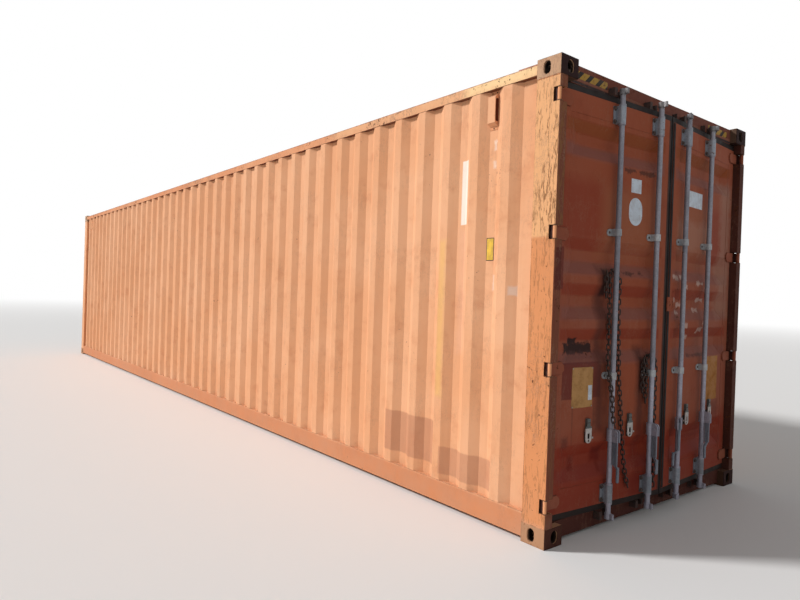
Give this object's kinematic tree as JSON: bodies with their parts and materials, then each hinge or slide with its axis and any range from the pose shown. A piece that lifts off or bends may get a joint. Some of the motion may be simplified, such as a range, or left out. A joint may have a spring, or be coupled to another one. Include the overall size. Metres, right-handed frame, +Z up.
{
  "type": "shipping container",
  "caption": "Steel freight container with corrugated walls, corner castings, and a pair of hinged doors with lock rods and hanging handles, standing slightly ajar.",
  "frame": {"origin": "on the ground, midway between the corner castings", "axes": "X across the container, Y along it with the doors at the -Y end, Z up"},
  "size_m": [2.438, 12.3051, 2.896],
  "materials": {
    "body_paint": "faded matt, scratched",
    "door_paint": "faded matt",
    "casting_paint": "worn matt",
    "galvanised": "dull galvanised",
    "gasket": "matt",
    "rusty_steel": "rusty",
    "plywood": "worn",
    "underframe": "dark undercoat"
  },
  "bodies": {
    "container": {"corner_castings_top": "casting_paint", "corner_castings_bottom": "casting_paint", "rear_post_left": "body_paint", "rear_post_right": "body_paint", "front_posts": "body_paint", "top_side_rails": "body_paint", "bottom_side_rails": "body_paint", "side_wall_left": "body_paint", "side_wall_right": "body_paint", "front_wall": "body_paint", "roof_panel": "body_paint", "roof_corner_plates": "body_paint", "front_header": "body_paint", "front_sill": "body_paint", "door_header": "door_paint", "door_sill": "door_paint", "cam_keepers": "rusty_steel", "hinge_pins": "rusty_steel", "floor_boards": "plywood", "cross_members": "underframe", "gooseneck_tunnel": "underframe", "side_vents": "body_paint"},
    "door_left": {"door_frame_left": "door_paint", "door_panel_left": "door_paint", "door_gasket_left": "gasket", "hinge_blades_left": "door_paint", "rod_brackets_left": "galvanised", "handle_catches_left": "galvanised"},
    "door_right": {"door_frame_right": "door_paint", "door_panel_right": "door_paint", "door_gasket_right": "gasket", "hinge_blades_right": "door_paint", "rod_brackets_right": "galvanised", "handle_catches_right": "galvanised", "overlap_tab": "body_paint"},
    "rod_1": {"lock_rod_1": "galvanised"},
    "handle_1": {"handle_1": "galvanised"},
    "rod_2": {"lock_rod_2": "galvanised"},
    "handle_2": {"handle_2": "galvanised"},
    "rod_3": {"lock_rod_3": "galvanised"},
    "handle_3": {"handle_3": "galvanised"},
    "rod_4": {"lock_rod_4": "galvanised"},
    "handle_4": {"handle_4": "galvanised"}
  },
  "joints": [
    {"name": "door_left_hinge", "type": "hinge", "parent": "container", "child": "door_left", "pos_m": [-1.203, -6.08, 1.456], "axis": [0, 0, -1], "range_deg": [-4.2, 255.8]},
    {"name": "door_right_hinge", "type": "hinge", "parent": "container", "child": "door_right", "pos_m": [1.203, -6.08, 1.456], "axis": [0, 0, 1], "range_deg": [-4.2, 255.8]},
    {"name": "rod_1_turn", "type": "hinge", "parent": "door_left", "child": "rod_1", "pos_m": [-0.61101, -6.11545, 1.4475], "axis": [0, 0, -1], "range_deg": [-60, 90]},
    {"name": "rod_2_turn", "type": "hinge", "parent": "door_left", "child": "rod_2", "pos_m": [-0.19213, -6.14621, 1.4475], "axis": [0, 0, -1], "range_deg": [-60, 90]},
    {"name": "rod_3_turn", "type": "hinge", "parent": "door_right", "child": "rod_3", "pos_m": [0.19213, -6.14621, 1.4475], "axis": [0, 0, 1], "range_deg": [0, 150]},
    {"name": "rod_4_turn", "type": "hinge", "parent": "door_right", "child": "rod_4", "pos_m": [0.61101, -6.11545, 1.4475], "axis": [0, 0, 1], "range_deg": [-60, 90]},
    {"name": "handle_1_lift", "type": "hinge", "parent": "rod_1", "child": "handle_1", "pos_m": [-0.61379, -6.15335, 0.612], "axis": [-0.9973, 0.0732, 0], "range_deg": [0, 100]},
    {"name": "handle_2_lift", "type": "hinge", "parent": "rod_2", "child": "handle_2", "pos_m": [-0.19492, -6.18411, 0.612], "axis": [-0.9973, 0.0732, 0], "range_deg": [0, 100]},
    {"name": "handle_3_lift", "type": "hinge", "parent": "rod_3", "child": "handle_3", "pos_m": [0.16071, -6.16757, 0.612], "axis": [-0.5621, 0.8271, 0], "range_deg": [0, 100]},
    {"name": "handle_4_lift", "type": "hinge", "parent": "rod_4", "child": "handle_4", "pos_m": [0.61379, -6.15335, 0.612], "axis": [-0.9973, -0.0732, 0], "range_deg": [0, 100]}
  ]
}
